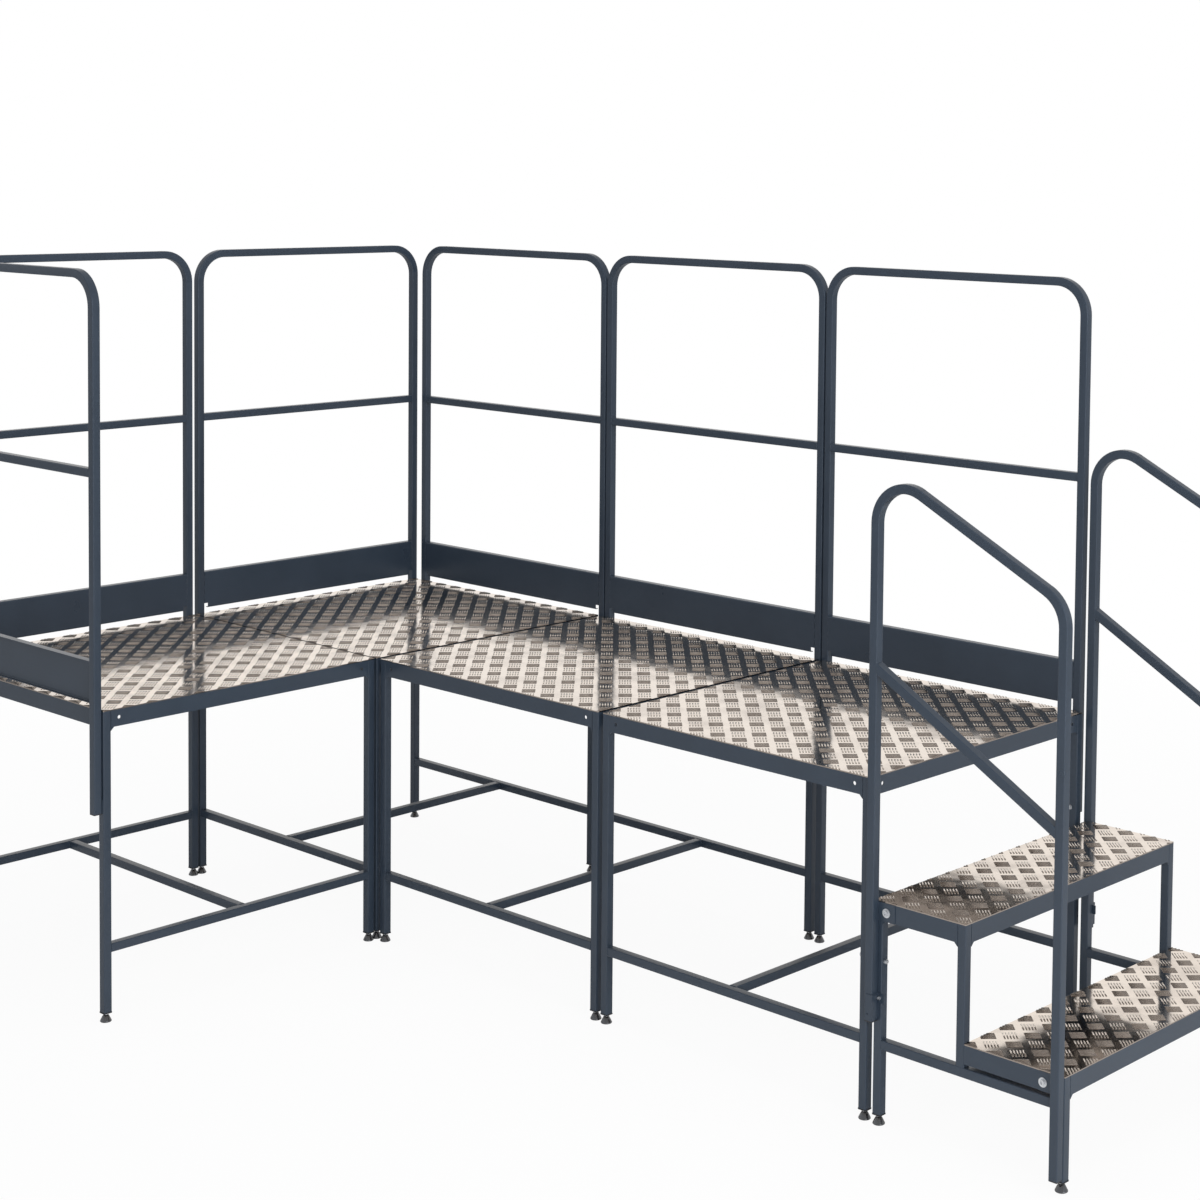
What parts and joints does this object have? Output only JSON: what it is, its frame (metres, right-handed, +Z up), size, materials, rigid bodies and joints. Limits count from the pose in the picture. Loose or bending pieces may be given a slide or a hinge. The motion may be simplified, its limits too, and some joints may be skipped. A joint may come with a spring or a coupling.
{
  "type": "work platform bench",
  "caption": "L-shaped modular work platform with tread-plate decks, guard rails with toe boards, and steps with sloping handrails.",
  "frame": {"origin": "middle of the footprint on the floor, under the feet", "axes": "+X along the long arm towards the steps, +Y towards the back guard rails, +Z up"},
  "size_m": [3.6006, 2.012, 2.149],
  "materials": {
    "paint": "satin",
    "tread_plate": "polished",
    "black_plastic": "matte",
    "foot_black": "gloss",
    "zinc": "satin"
  },
  "bodies": {
    "platform": {"a_rim": "paint", "b_rim": "paint", "c_rim": "paint", "d_rim": "paint", "a_legs": "paint", "b_legs": "paint", "c_legs": "paint", "d_legs": "paint", "a_deck": "tread_plate", "b_deck": "tread_plate", "c_deck": "tread_plate", "d_deck": "tread_plate", "leg_braces": "paint", "leg_plugs": "black_plastic", "a_outer_rail": "paint", "a_end_rail": "paint", "b_outer_rail": "paint", "b_back_rail": "paint", "c_back_rail": "paint", "d_back_rail": "paint", "a_outer_toe_board": "paint", "a_end_toe_board": "paint", "b_outer_toe_board": "paint", "b_back_toe_board": "paint", "c_back_toe_board": "paint", "d_back_toe_board": "paint", "step_legs": "paint", "step_upper_rim": "paint", "step_lower_rim": "paint", "step_stretchers": "paint", "step_upper_tread": "tread_plate", "step_lower_tread": "tread_plate", "handrail_near": "paint", "handrail_far": "paint", "post_caps": "black_plastic", "rail_brackets": "paint", "rail_bolts": "zinc", "link_bolts": "zinc", "link_spacers": "zinc", "step_bolts": "zinc"},
    "foot_01_body": {"foot_01": "foot_black"},
    "foot_02_body": {"foot_02": "foot_black"},
    "foot_03_body": {"foot_03": "foot_black"},
    "foot_04_body": {"foot_04": "foot_black"},
    "foot_05_body": {"foot_05": "foot_black"},
    "foot_06_body": {"foot_06": "foot_black"},
    "foot_07_body": {"foot_07": "foot_black"},
    "foot_08_body": {"foot_08": "foot_black"},
    "foot_09_body": {"foot_09": "foot_black"},
    "foot_10_body": {"foot_10": "foot_black"},
    "foot_11_body": {"foot_11": "foot_black"},
    "foot_12_body": {"foot_12": "foot_black"},
    "foot_13_body": {"foot_13": "foot_black"},
    "foot_14_body": {"foot_14": "foot_black"},
    "foot_15_body": {"foot_15": "foot_black"},
    "foot_16_body": {"foot_16": "foot_black"},
    "foot_17_body": {"foot_17": "foot_black"},
    "foot_18_body": {"foot_18": "foot_black"},
    "foot_19_body": {"foot_19": "foot_black"},
    "foot_20_body": {"foot_20": "foot_black"}
  },
  "joints": [
    {"name": "foot_01_level", "type": "slide", "parent": "platform", "child": "foot_01_body", "axis": [0, 0, -1], "range_m": [0, 0.03]},
    {"name": "foot_02_level", "type": "slide", "parent": "platform", "child": "foot_02_body", "axis": [0, 0, -1], "range_m": [0, 0.03]},
    {"name": "foot_03_level", "type": "slide", "parent": "platform", "child": "foot_03_body", "axis": [0, 0, -1], "range_m": [0, 0.03]},
    {"name": "foot_04_level", "type": "slide", "parent": "platform", "child": "foot_04_body", "axis": [0, 0, -1], "range_m": [0, 0.03]},
    {"name": "foot_05_level", "type": "slide", "parent": "platform", "child": "foot_05_body", "axis": [0, 0, -1], "range_m": [0, 0.03]},
    {"name": "foot_06_level", "type": "slide", "parent": "platform", "child": "foot_06_body", "axis": [0, 0, -1], "range_m": [0, 0.03]},
    {"name": "foot_07_level", "type": "slide", "parent": "platform", "child": "foot_07_body", "axis": [0, 0, -1], "range_m": [0, 0.03]},
    {"name": "foot_08_level", "type": "slide", "parent": "platform", "child": "foot_08_body", "axis": [0, 0, -1], "range_m": [0, 0.03]},
    {"name": "foot_09_level", "type": "slide", "parent": "platform", "child": "foot_09_body", "axis": [0, 0, -1], "range_m": [0, 0.03]},
    {"name": "foot_10_level", "type": "slide", "parent": "platform", "child": "foot_10_body", "axis": [0, 0, -1], "range_m": [0, 0.03]},
    {"name": "foot_11_level", "type": "slide", "parent": "platform", "child": "foot_11_body", "axis": [0, 0, -1], "range_m": [0, 0.03]},
    {"name": "foot_12_level", "type": "slide", "parent": "platform", "child": "foot_12_body", "axis": [0, 0, -1], "range_m": [0, 0.03]},
    {"name": "foot_13_level", "type": "slide", "parent": "platform", "child": "foot_13_body", "axis": [0, 0, -1], "range_m": [0, 0.03]},
    {"name": "foot_14_level", "type": "slide", "parent": "platform", "child": "foot_14_body", "axis": [0, 0, -1], "range_m": [0, 0.03]},
    {"name": "foot_15_level", "type": "slide", "parent": "platform", "child": "foot_15_body", "axis": [0, 0, -1], "range_m": [0, 0.03]},
    {"name": "foot_16_level", "type": "slide", "parent": "platform", "child": "foot_16_body", "axis": [0, 0, -1], "range_m": [0, 0.03]},
    {"name": "foot_17_level", "type": "slide", "parent": "platform", "child": "foot_17_body", "axis": [0, 0, -1], "range_m": [0, 0.03]},
    {"name": "foot_18_level", "type": "slide", "parent": "platform", "child": "foot_18_body", "axis": [0, 0, -1], "range_m": [0, 0.03]},
    {"name": "foot_19_level", "type": "slide", "parent": "platform", "child": "foot_19_body", "axis": [0, 0, -1], "range_m": [0, 0.03]},
    {"name": "foot_20_level", "type": "slide", "parent": "platform", "child": "foot_20_body", "axis": [0, 0, -1], "range_m": [0, 0.03]}
  ]
}
